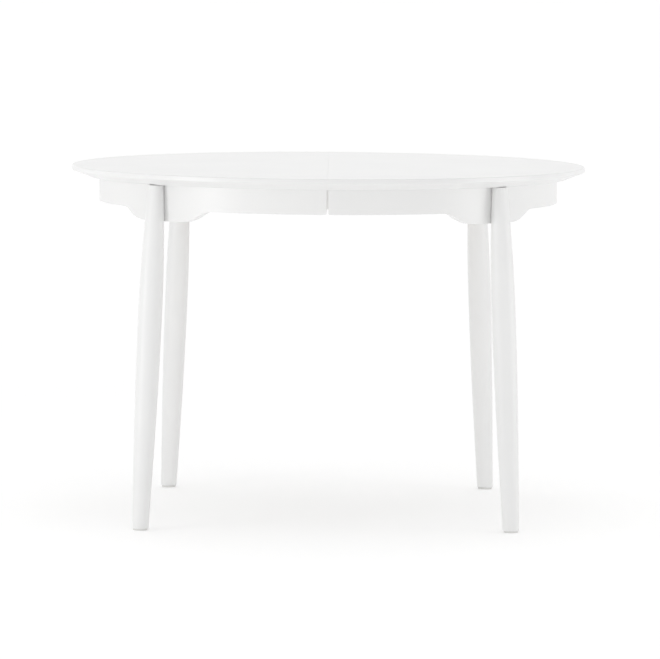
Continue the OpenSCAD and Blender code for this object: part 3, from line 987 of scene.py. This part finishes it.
@dataclass
class ApronLength:
    """One bent length of the apron, with a bracket at each leg that it reaches."""

    name: str
    side: Side
    sizes: ApronSizes
    start: float
    end: float
    legs: Sequence[float]
    seam_at: Optional[float] = None

    def lower(self, angle: float) -> float:
        """Height of the lower edge at an angle around the table.

        Args:
            angle: The angle in radians.

        Returns:
            The height in metres.
        """
        s = self.sizes
        middle = (s.outer + s.inner) / 2
        height = min(s.lower_edge(middle * math.sin(angle - leg))
                     if abs(angle - leg) < math.pi / 3 else s.apron_z
                     for leg in self.legs)
        if self.seam_at is not None:
            gone = abs(angle - self.seam_at) * middle
            if gone < s.corner:
                height += s.corner - math.sqrt(s.corner ** 2 - (s.corner - gone) ** 2)
        return height

    def stations(self) -> list[float]:
        """Angles of the cross-sections, closer together at the seam's soft corner."""
        count = max(2, round((self.end - self.start) / self.sizes.step))
        angles = [self.start + (self.end - self.start) * i / count for i in range(count + 1)]
        if self.seam_at is not None:
            inwards = 1 if self.seam_at == self.start else -1
            span = self.sizes.corner / self.sizes.outer
            angles += [self.seam_at + inwards * span * (1 - math.cos(math.pi / 2 * i / 6))
                       for i in range(1, 7)]
        return sorted(angles)

    def build(self, finishes: Finishes) -> Piece:
        """Make the apron length and stand it for its CAD node.

        Args:
            finishes: The shared finishes.

        Returns:
            The piece.
        """
        s = self.sizes
        made = bmesh.new()
        sections = []
        for angle in self.stations():
            along = Vector((math.cos(angle), math.sin(angle), 0))
            low = self.lower(angle)
            corners = ((s.inner, low), (s.outer, low), (s.outer, s.under_z), (s.inner, s.under_z))
            sections.append([made.verts.new(along * r + Vector((0, 0, z))) for r, z in corners])
        for a, b in zip(sections, sections[1:]):
            for i in range(4):
                made.faces.new((a[i], a[(i + 1) % 4], b[(i + 1) % 4], b[i]))
        made.faces.new(sections[0])
        made.faces.new(sections[-1])
        outward(made)
        piece = new_object(self.name.replace("apron", "apron_length"), made)
        ease(piece, 1.1 * MM, steps=3, angle=60.0)
        return finish_piece(piece, finishes.of(TOP_LACQUER), TOP_LACQUER.slot, self.side.body, self.name)


@dataclass(frozen=True)
class LegSizes:
    """Sizes of a turned leg, along its own axis and over the floor."""

    axis_radius: float
    glide_top: float
    top_z: float
    seat_radius: float
    seat_z: float
    splay: float = LEG_SPLAY
    foot_radius: float = 17.2 * MM
    middle_radius: float = 25.1 * MM
    head_radius: float = 15.6 * MM
    middle_z: float = 450 * MM
    head_round: float = 1.8 * MM
    foot_round: float = 0.8 * MM
    power: float = 2.1


@dataclass
class Leg:
    """A turned leg that leans out from the apron and is scribed to its outer face."""

    side: Side
    face: Face
    sizes: LegSizes
    tree: TurnedLegTree

    @property
    def suffix(self) -> str:
        """Corner name, as node names use it."""
        return f"{self.face.word}_{self.side.word}"

    def turn(self) -> float:
        """Angle of the leg around the table, in radians, from its glide in the frame."""
        low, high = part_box(f"glide_{self.suffix}")
        return math.atan2(low.y + high.y, low.x + high.x)

    def blank(self, finishes: Finishes) -> Piece:
        """Grow the turned blank and lean it into place.

        Args:
            finishes: The shared finishes.

        Returns:
            The blank, longer than the leg at both ends.
        """
        s = self.sizes
        piece = new_object(f"turned_leg_{self.suffix}", bmesh.new())
        self.tree.apply(piece, {
            "Low End": -10 * MM, "High End": s.top_z + 20 * MM, "Foot Radius": s.foot_radius,
            "Middle Radius": s.middle_radius, "Head Radius": s.head_radius, "Middle Height": s.middle_z,
            "Head Height": s.top_z, "Shoulder Power": s.power, "Rings": 150, "Sides": 96,
            "Finish": finishes.of(LEG_LACQUER)})
        lean = Matrix.Translation((s.axis_radius, 0, 0)) @ Matrix.Rotation(-s.splay, 4, "Y")
        piece.data.transform(Matrix.Rotation(self.turn(), 4, "Z") @ lean)
        return piece

    def build(self, finishes: Finishes) -> Piece:
        """Make the leg and stand it for its CAD node.

        Args:
            finishes: The shared finishes.

        Returns:
            The piece.
        """
        s = self.sizes
        piece = self.blank(finishes)
        made = bmesh.new()
        made.from_mesh(piece.data)
        outward(made)
        for level, up, width in ((s.top_z, -1, s.head_round), (s.glide_top, 1, s.foot_round)):
            rim = cut_level(made, Vector((0, 0, level)), Vector((0, 0, up)))
            bmesh.ops.bevel(made, geom=rim, offset=width, segments=4, profile=0.5, affect="EDGES")
        outward(made)
        made.to_mesh(piece.data)
        made.free()
        self.scribe(piece)
        clean_normals(piece, 35.0)
        return finish_piece(piece, finishes.of(LEG_LACQUER), LEG_LACQUER.slot, self.side.body,
                            f"leg_{self.suffix}")

    def scribe(self, piece: Piece) -> None:
        """Cut the seat that fits the apron's outer face, with a ledge below the bracket."""
        s = self.sizes
        height = s.top_z + 50 * MM - s.seat_z
        made = bmesh.new()
        bmesh.ops.create_cone(made, cap_ends=True, segments=720, radius1=s.seat_radius, radius2=s.seat_radius,
                              depth=height)
        bmesh.ops.translate(made, verts=made.verts, vec=(0, 0, s.seat_z + height / 2))
        cut_away(piece, made)


@dataclass
class Glide:
    """A moulded foot under a leg, with a slightly domed rim."""

    side: Side
    face: Face

    def build(self, finishes: Finishes) -> Piece:
        """Make the glide and stand it for its CAD node.

        Args:
            finishes: The shared finishes.

        Returns:
            The piece.
        """
        node = f"glide_{self.face.word}_{self.side.word}"
        low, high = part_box(node)
        radius = (high.x - low.x) / 2
        stem = 4 * MM
        outline = rounded([
            (0.0, 0.0, 0.0), (radius, 0.0, 1.2 * MM), (radius, GLIDE_HEIGHT, 0.5 * MM),
            (stem, GLIDE_HEIGHT, 0.0), (stem, high.z, 0.0), (0.0, high.z, 0.0)], 5)
        made = revolve(outline, 64)
        bmesh.ops.translate(made, verts=made.verts, vec=((low.x + high.x) / 2, (low.y + high.y) / 2, 0))
        piece = new_object(f"floor_{node}", made)
        crisp(piece.data, 40.0)
        return finish_piece(piece, finishes.of(NYLON), NYLON.slot, self.side.body, node)


# ---------------------------------------------------------------- below the top


@dataclass
class EasedNode:
    """A CAD piece remade with eased straight edges, for wood and for pressed metal."""

    node: str
    body: str
    finish: "Lacquer | Timber | Metal"
    width: float
    shortest: float = 6 * MM

    def build(self, finishes: Finishes) -> Piece:
        """Make the piece and stand it for its CAD node.

        Args:
            finishes: The shared finishes.

        Returns:
            The piece.
        """
        made = merged_copy(self.node)
        weight = made.edges.layers.float.new("bevel_weight_edge")
        for edge in made.edges:
            sharp = len(edge.link_faces) == 2 and edge.calc_face_angle(0.0) > math.radians(50)
            edge[weight] = 1.0 if sharp and edge.calc_length() > self.shortest else 0.0
        piece = new_object(f"eased_{self.node}", made)
        ease(piece, self.width, steps=2, weighted=True)
        return finish_piece(piece, finishes.of(self.finish), self.finish.slot, self.body, self.node)


def cross_recess(reach: float, width: float, depth: float) -> Solid:
    """The tapered cross that a screwdriver leaves room for.

    Args:
        reach: Length of an arm.
        width: Width of an arm.
        depth: Depth of the recess.

    Returns:
        A closed cross, pointed upwards, that starts just below the head's face.
    """
    made = bmesh.new()
    for turn in (0.0, math.pi / 2):
        part = bmesh.ops.create_cube(made, size=1.0)["verts"]
        for vertex in part:
            taper = 0.45 if vertex.co.z > 0 else 1.0
            x, y, z = vertex.co
            flat = Vector((x * 2 * reach * taper, y * width * taper, z * depth + depth / 2 - 0.02 * MM))
            vertex.co = Matrix.Rotation(turn, 3, "Z") @ flat
    return made


def carve(name: str, solid: Solid, cutters: Iterable[Solid]) -> Piece:
    """Cut recesses out of a solid.

    Args:
        name: Name of the object.
        solid: The solid.
        cutters: What is cut away.

    Returns:
        The carved object.
    """
    piece = new_object(name, solid)
    for made in cutters:
        cut_away(piece, made, use_self=True)
    crisp(piece.data, 30.0)
    return piece


def wood_screw(radius: float, length: float) -> Piece:
    """A countersunk wood screw that points up +Z from its head's face.

    Args:
        radius: Radius of the shank.
        length: Length from the head's face to the tip.

    Returns:
        The screw.
    """
    pitch = radius * 0.9
    outline: list[Point] = [
        (0.0, 0.0), (2 * radius, 0.0), (2 * radius, 0.15 * radius), (0.95 * radius, radius)]
    turns = int((length - 2.2 * radius) / pitch)
    for turn in range(turns):
        height = radius + turn * pitch
        outline += [(0.72 * radius, height + 0.3 * pitch), (0.97 * radius, height + 0.75 * pitch)]
    outline += [(0.7 * radius, length - radius), (0.0, length)]
    recess = cross_recess(1.1 * radius, 0.42 * radius, 0.75 * radius)
    return carve("wood_screw", revolve(outline, 20), [recess])


def socket_bolt(head_radius: float, head_height: float, radius: float, length: float) -> Piece:
    """A bolt with a hexagon socket that points up +Z from its head's face.

    Args:
        head_radius: Radius of the head.
        head_height: Height of the head.
        radius: Radius of the shank.
        length: Length from the head's face to the tip.

    Returns:
        The bolt.
    """
    bevel = 0.12 * head_radius
    outline: list[Point] = [
        (0.0, 0.0), (head_radius - bevel, 0.0), (head_radius, bevel), (head_radius, head_height),
        (radius, head_height), (radius, length - 1.0 * MM), (radius - 1.0 * MM, length), (0.0, length)]
    socket = bmesh.new()
    bmesh.ops.create_cone(socket, cap_ends=True, segments=6, radius1=0.7 * radius, radius2=0.7 * radius,
                          depth=2 * 3.0 * MM)
    return carve("socket_bolt", revolve(outline, 36), [socket])


@dataclass
class FastenerSet:
    """The fasteners of one CAD node, set by Geometry Nodes where the frame has them."""

    node: str
    body: str
    prototype: Piece
    tree: FastenerTree
    finish: Metal
    seed: int
    seat: Callable[[Vector, Vector], tuple[Vector, Vector]]
    size: float = 1.0

    def build(self, finishes: Finishes) -> Piece:
        """Set the fasteners and stand them for their CAD node.

        Args:
            finishes: The shared finishes.

        Returns:
            The piece.
        """
        made = bmesh.new()
        aim = made.verts.layers.float_vector.new("aim")
        for low, high in solids_of(self.node):
            place, direction = self.seat(low, high)
            made.verts.new(place)[aim] = direction
        piece = new_object(f"set_{self.node}", made)
        material = finishes.of(self.finish)
        self.tree.apply(piece, {"Fastener": self.prototype, "Seed": self.seed, "Size": self.size,
                                "Finish": material})
        return finish_piece(piece, material, self.finish.slot, self.body, self.node)


def seat_upright(low: Vector, high: Vector) -> tuple[Vector, Vector]:
    """Seat of an upright screw: the middle of its head's face, aimed up."""
    return Vector(((low.x + high.x) / 2, (low.y + high.y) / 2, low.z)), Vector((0, 0, 1))


@dataclass(frozen=True)
class BoltSeat:
    """Seat of a leg bolt: its head's face lies at one radius, and it points outwards."""

    head_radius: float

    def __call__(self, low: Vector, high: Vector) -> tuple[Vector, Vector]:
        """Place and direction of the bolt inside a box.

        Args:
            low: Lowest corner of the bolt's box.
            high: Highest corner of the bolt's box.

        Returns:
            The middle of the head's face, and the direction of the shank.
        """
        middle = (low + high) / 2
        out = Vector((middle.x, middle.y, 0)).normalized()
        return out * self.head_radius + Vector((0, 0, middle.z)), out


@dataclass
class Dressed:
    """CAD pieces that stay as they are and only take a finish."""

    nodes: Sequence[str]
    finish: "Timber | Metal | Nylon"

    def build(self, finishes: Finishes) -> None:
        """Give each node its finish.

        Args:
            finishes: The shared finishes.
        """
        material = finishes.of(self.finish)
        for name in self.nodes:
            node = frame["nodes"][name]
            node.data.materials.clear()
            node.data.materials.append(material)
            log.info("%s dressed in %s", name, material.name)


# ---------------------------------------------------------------- the table


@dataclass
class Table:
    """The whole table: two lacquered halves, their underframes, slides and catches."""

    finishes: Finishes
    top: TopSizes = field(default_factory=TopSizes.from_frame)
    apron: ApronSizes = field(default_factory=ApronSizes.from_frame)

    def leg_sizes(self) -> LegSizes:
        """Sizes of the legs, from the frame's legs and glides."""
        _, leg_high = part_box("leg_front_right")
        low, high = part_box("glide_front_right")
        radius = math.hypot(low.x + high.x, low.y + high.y) / 2
        gap = 0.1 * MM
        return LegSizes(axis_radius=radius + GLIDE_HEIGHT * math.tan(LEG_SPLAY), glide_top=GLIDE_HEIGHT,
                        top_z=leg_high.z, seat_radius=self.apron.outer + gap, seat_z=self.apron.foot_z - gap)

    def build_half(self, side: Side, leg_tree: TurnedLegTree) -> None:
        """Make one half's lacquered pieces and glides.

        Args:
            side: The half.
            leg_tree: The tree that grows leg blanks.
        """
        HalfTop(side, self.top).build(self.finishes)
        sizes = self.leg_sizes()
        turns = {}
        for face in Face:
            leg = Leg(side, face, sizes, leg_tree)
            turns[face] = leg.turn() % (2 * math.pi) if side is Side.LEFT else leg.turn()
            leg.build(self.finishes)
            Glide(side, face).build(self.finishes)
        seam_half = math.asin(self.apron.seam / self.apron.outer)
        for face in Face:
            front = 3 * math.pi / 2 if side is Side.LEFT else -math.pi / 2
            straight = math.pi / 2 if face is Face.BACK else front
            away = 1 if turns[face] > straight else -1
            seam = straight + away * seam_half
            ends = sorted((seam, turns[face]))
            ApronLength(f"apron_{side.word}_{face.word}", side, self.apron, ends[0], ends[1],
                        [turns[face]], seam_at=seam).build(self.finishes)
        ends = sorted(turns.values())
        ApronLength(f"apron_{side.word}_side", side, self.apron, ends[0], ends[1], ends).build(self.finishes)

    def build_underframe(self) -> None:
        """Make the blocks, bearers, slides and catches."""
        for side in Side:
            for face in Face:
                EasedNode(f"corner_block_{face.word}_{side.word}", side.body, BEECH_X,
                          1.2 * MM).build(self.finishes)
            EasedNode(f"apron_blocks_{side.word}", side.body, BEECH_X, 1.2 * MM).build(self.finishes)
            EasedNode(f"bearer_{side.word}", side.body, BEECH_Y, 1.5 * MM).build(self.finishes)
        for face in Face:
            end = face.word
            rails = {"outer": Side.LEFT.body, "middle": f"middle_rail_{end}", "inner": Side.RIGHT.body}
            for part, body in rails.items():
                EasedNode(f"slide_{part}_{end}", body, SLIDE_LACQUER, 0.5 * MM,
                          shortest=12 * MM).build(self.finishes)
            EasedNode(f"catch_plate_{end}", Side.LEFT.body, ROLLED_ZINC, 0.25 * MM).build(self.finishes)
            EasedNode(f"catch_keeper_{end}", Side.RIGHT.body, ROLLED_ZINC, 0.25 * MM).build(self.finishes)
            EasedNode(f"catch_lever_{end}", f"catch_{end}", ROLLED_ZINC, 0.25 * MM).build(self.finishes)

    def build_fasteners(self) -> None:
        """Set the screws and bolts, and dress the small turned parts."""
        tree = FastenerTree()
        screw = wood_screw(2 * MM, 31 * MM)
        small = wood_screw(1.6 * MM, 11 * MM)
        bolts = solids_of("leg_bolts_right")
        reach = [math.hypot((b[0].x + b[1].x) / 2, (b[0].y + b[1].y) / 2) for b in bolts]
        bolt = socket_bolt(7 * MM, 5 * MM, 4 * MM, BOLT_LENGTH)
        bolt_seat = BoltSeat(sum(reach) / len(reach) - BOLT_LENGTH / 2)
        kinds = (("top_screws", screw, 11, seat_upright), ("catch_screws", small, 21, seat_upright),
                 ("leg_bolts", bolt, 31, bolt_seat))
        for index, side in enumerate(Side):
            for kind, prototype, seed, seat in kinds:
                FastenerSet(f"{kind}_{side.word}", side.body, prototype, tree, ZINC, seed + index,
                            seat).build(self.finishes)
        for prototype in (screw, small, bolt):
            bpy.data.objects.remove(prototype)
        Dressed(("leg_washers_left", "leg_washers_right", "stop_pins_front", "stop_pins_back",
                 "catch_rivet_front", "catch_rivet_back"), ZINC).build(self.finishes)
        Dressed(("leg_inserts_left", "leg_inserts_right", "seam_pins"), BRASS).build(self.finishes)
        Dressed(("seam_bushes",), NYLON).build(self.finishes)

    def build(self) -> None:
        """Make every piece, outside first."""
        leg_tree = TurnedLegTree()
        for side in Side:
            self.build_half(side, leg_tree)
        self.build_underframe()
        self.build_fasteners()


# ---------------------------------------------------------------- studio


@dataclass(frozen=True)
class SoftBox:
    """A large soft area light, aimed at a point."""

    name: str
    place: tuple[float, float, float]
    aim: tuple[float, float, float]
    width: float
    height: float
    watts: float

    def build(self) -> Piece:
        """Hang the light."""
        data = bpy.data.lights.new(self.name, "AREA")
        data.shape = "RECTANGLE"
        data.size = self.width
        data.size_y = self.height
        data.energy = self.watts
        light = bpy.data.objects.new(self.name, data)
        light.location = self.place
        light.rotation_euler = (Vector(self.aim) - Vector(self.place)).to_track_quat("-Z", "Y").to_euler()
        bpy.context.scene.collection.objects.link(light)
        return light


@dataclass(frozen=True)
class Room:
    """Brightness of the white room around the table, by the way that one looks."""

    plain: float = 0.35
    above: float = 0.904
    front: float = 0.469
    back: float = 1.148
    left: float = -0.074
    right: float = -0.35
    low_front: float = 0.631

    def build(self) -> None:
        """Paint the room as a world shader."""
        world = bpy.data.worlds.new("studio_room")
        world.use_nodes = True
        bpy.context.scene.world = world
        nodes, links = world.node_tree.nodes, world.node_tree.links

        def calc(operation: str, *values: "float | Socket") -> Socket:
            """A calculation on up to three sockets or plain numbers."""
            node = nodes.new("ShaderNodeMath")
            node.operation = operation
            for socket, value in zip(node.inputs, values):
                if isinstance(value, Socket):
                    links.new(value, socket)
                else:
                    socket.default_value = value
            return node.outputs[0]

        split = nodes.new("ShaderNodeSeparateXYZ")
        links.new(nodes.new("ShaderNodeTexCoord").outputs["Generated"], split.inputs[0])
        x, y, z = split.outputs
        up = calc("MAXIMUM", z, 0.0)
        walls: "float | Socket" = 0.0
        for strength, axis, sign in ((self.front, y, -1.0), (self.back, y, 1.0),
                                     (self.left, x, -1.0), (self.right, x, 1.0)):
            facing = calc("MAXIMUM", calc("MULTIPLY", axis, sign), 0.0)
            walls = calc("MULTIPLY_ADD", facing, strength, walls)
        low = calc("SUBTRACT", 1.0, up)
        level = calc("MULTIPLY_ADD", walls, low, self.plain)
        glow = calc("MULTIPLY", calc("MAXIMUM", calc("MULTIPLY", y, -1.0), 0.0), calc("POWER", low, 8.0))
        level = calc("MULTIPLY_ADD", glow, self.low_front, level)
        level = calc("MULTIPLY_ADD", calc("MULTIPLY", up, up), self.above, level)
        background = nodes["Background"]
        background.inputs["Color"].default_value = (1.0, 1.0, 1.0, 1.0)
        links.new(level, background.inputs["Strength"])


@dataclass(frozen=True)
class Studio:
    """A pale floor in a white room, four soft boxes and a long-lens camera."""

    camera_place: tuple[float, float, float] = (0.0316, -11.478, 1.3638)
    yaw: float = math.radians(-0.129)
    pitch: float = math.radians(4.849)
    roll: float = math.radians(-0.378)
    lens: float = 291.8
    floor_glow: float = 0.25
    far_glow: float = 0.29
    glow_reach: float = 6.0
    floor_white: float = 0.8
    room: Room = Room()
    boxes: tuple[SoftBox, ...] = (
        SoftBox("key_box", (-2.9, -1.96, 1.2), (0.0, 0.0, 0.5), 1.6, 2.0, 5.7),
        SoftBox("side_box", (3.4, -0.85, 1.2), (0.0, 0.0, 0.5), 1.6, 2.0, 8.8),
        SoftBox("low_key_box", (-2.9, -1.96, 0.55), (0.0, 0.0, 0.5), 0.6, 0.5, 13.6),
        SoftBox("low_side_box", (3.4, -0.85, 0.55), (0.0, 0.0, 0.5), 1.6, 1.1, 11.4),
    )

    def build_camera(self) -> None:
        """Set the camera, a long way off in front and a little above the top."""
        forward = Vector((math.sin(self.yaw) * math.cos(self.pitch),
                          math.cos(self.yaw) * math.cos(self.pitch), -math.sin(self.pitch)))
        level = Vector((math.cos(self.yaw), -math.sin(self.yaw), 0))
        down = forward.cross(level)
        right = level * math.cos(self.roll) + down * math.sin(self.roll)
        up = level * math.sin(self.roll) - down * math.cos(self.roll)
        data = bpy.data.cameras.new("camera")
        data.lens = self.lens
        data.sensor_width = SENSOR_WIDTH
        data.clip_end = 200.0
        camera = bpy.data.objects.new("camera", data)
        axes = Matrix((right, up, -forward)).transposed().to_4x4()
        camera.matrix_world = Matrix.Translation(self.camera_place) @ axes
        bpy.context.scene.collection.objects.link(camera)
        bpy.context.scene.camera = camera

    def build_floor(self) -> None:
        """Lay a pale floor that glows with painted light: the glow lightens its own shadows, and brightens
        the floor a little further off.
        """
        made = bmesh.new()
        bmesh.ops.create_grid(made, x_segments=1, y_segments=1, size=60.0)
        floor = new_object("studio_floor", made)
        tree = ShaderTree("studio_floor_paint")
        place = tree.place()
        white = (self.floor_white,) * 3
        near = tuple(0.985 * c for c in white)
        paint = tree.ramp(tree.noise(place, 0.8), [(0.3, near), (0.7, white)])
        tree.link(paint, tree.shader.inputs["Base Color"])
        # Painted light: the floor's own glow lifts the table's shadow on it, and the glow rises away from the
        # table.
        tree.shader.inputs["Emission Color"].default_value = (1.0, 1.0, 1.0, 1.0)
        tree.constants(roughness=0.9, specular_ior_level=0.0)
        nearness = tree.add("ShaderNodeTexGradient", gradient_type="SPHERICAL")
        tree.link(tree.place((1 / self.glow_reach,) * 3), nearness.inputs["Vector"])
        glow = tree.band(nearness.outputs["Fac"], self.far_glow, self.floor_glow)
        tree.link(glow, tree.shader.inputs["Emission Strength"])
        floor.data.materials.append(tree.material)

    def build(self) -> None:
        """Set the camera, the room, the floor and the lights."""
        self.build_camera()
        self.room.build()
        self.build_floor()
        for box in self.boxes:
            box.build()
        view = bpy.context.scene.view_settings
        view.view_transform = "Standard"
        view.look = "None"


def main() -> None:
    """Build the studio and the table."""
    logging.basicConfig(level=logging.INFO, format="%(name)s: %(message)s")
    Studio().build()
    Table(Finishes()).build()


if __name__ == "__main__":
    main()
